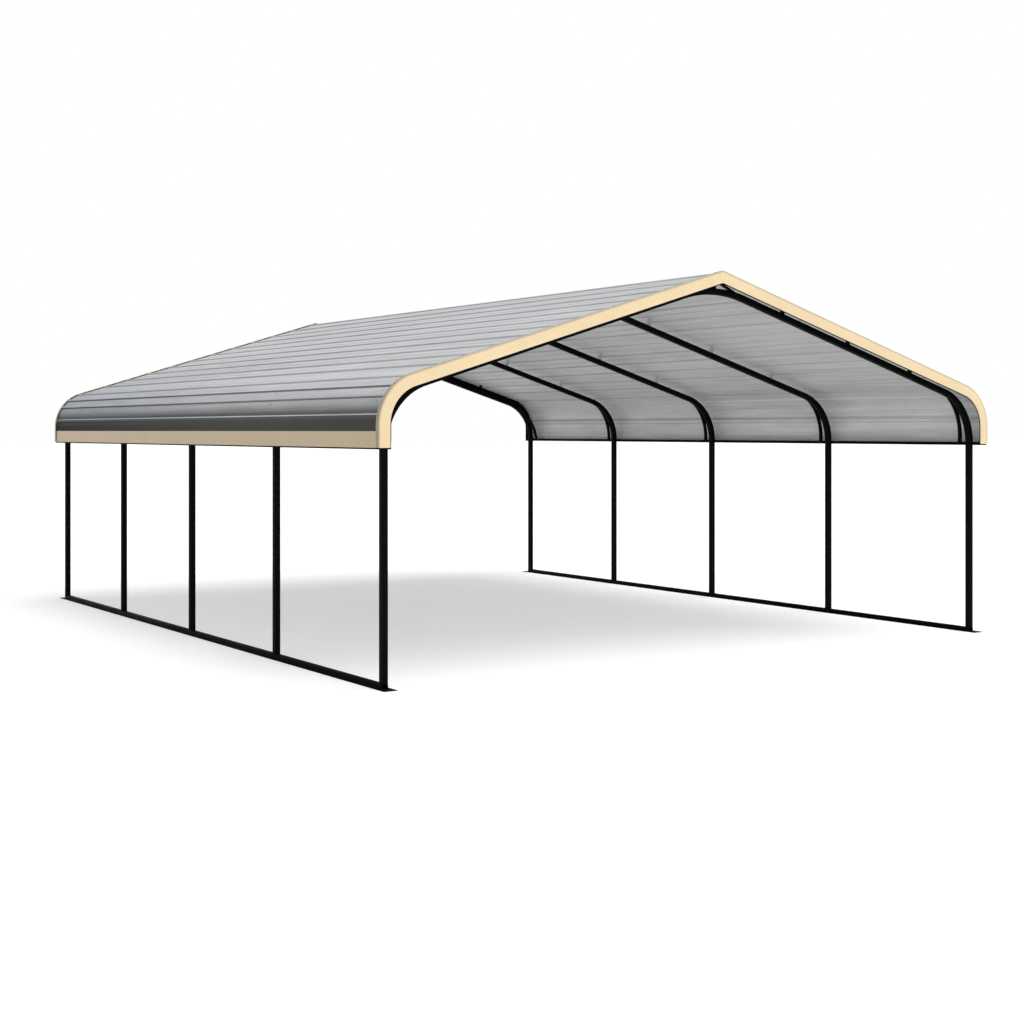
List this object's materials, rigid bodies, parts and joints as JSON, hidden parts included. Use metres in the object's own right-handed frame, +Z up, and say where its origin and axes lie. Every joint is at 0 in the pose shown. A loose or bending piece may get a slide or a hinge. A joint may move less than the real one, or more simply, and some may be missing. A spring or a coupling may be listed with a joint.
{
  "type": "carport",
  "caption": "Open carport: square-tube frames on base rails carry a ribbed metal roof that bends down over the eaves, with pale gable and eave trims.",
  "frame": {"origin": "on the ground at the middle of the plan, at the base rails' underside", "axes": "+Z up, +Y along the ridge from the front gable to the back, +X to the right seen from the front"},
  "size_m": [6.31, 7.57, 3.145],
  "materials": {
    "frame_paint": "black powder coat, satin",
    "roof_sheet": "coated steel sheet, smooth, semi-gloss",
    "trim_paint": "cream paint, satin"
  },
  "bodies": {
    "root": {"back_left_gable_strip": "frame_paint", "back_left_gable_trim": "trim_paint", "back_right_gable_strip": "frame_paint", "back_right_gable_trim": "trim_paint", "front_left_gable_strip": "frame_paint", "front_left_gable_trim": "trim_paint", "front_right_gable_strip": "frame_paint", "front_right_gable_trim": "trim_paint", "left_base_rail": "frame_paint", "left_eave_panel": "roof_sheet", "left_eave_rail": "frame_paint", "left_eave_stays": "frame_paint", "left_eave_trim": "trim_paint", "left_lower_panel": "roof_sheet", "left_post_1": "frame_paint", "left_post_2": "frame_paint", "left_post_3": "frame_paint", "left_post_4": "frame_paint", "left_post_5": "frame_paint", "left_purlins": "roof_sheet", "left_upper_panel": "roof_sheet", "rib_1": "frame_paint", "rib_2": "frame_paint", "rib_3": "frame_paint", "rib_4": "frame_paint", "rib_5": "frame_paint", "ridge_brackets": "frame_paint", "ridge_panel": "roof_sheet", "right_base_rail": "frame_paint", "right_eave_panel": "roof_sheet", "right_eave_rail": "frame_paint", "right_eave_stays": "frame_paint", "right_eave_trim": "trim_paint", "right_lower_panel": "roof_sheet", "right_post_1": "frame_paint", "right_post_2": "frame_paint", "right_post_3": "frame_paint", "right_post_4": "frame_paint", "right_post_5": "frame_paint", "right_purlins": "roof_sheet", "right_upper_panel": "roof_sheet"}
  },
  "joints": []
}
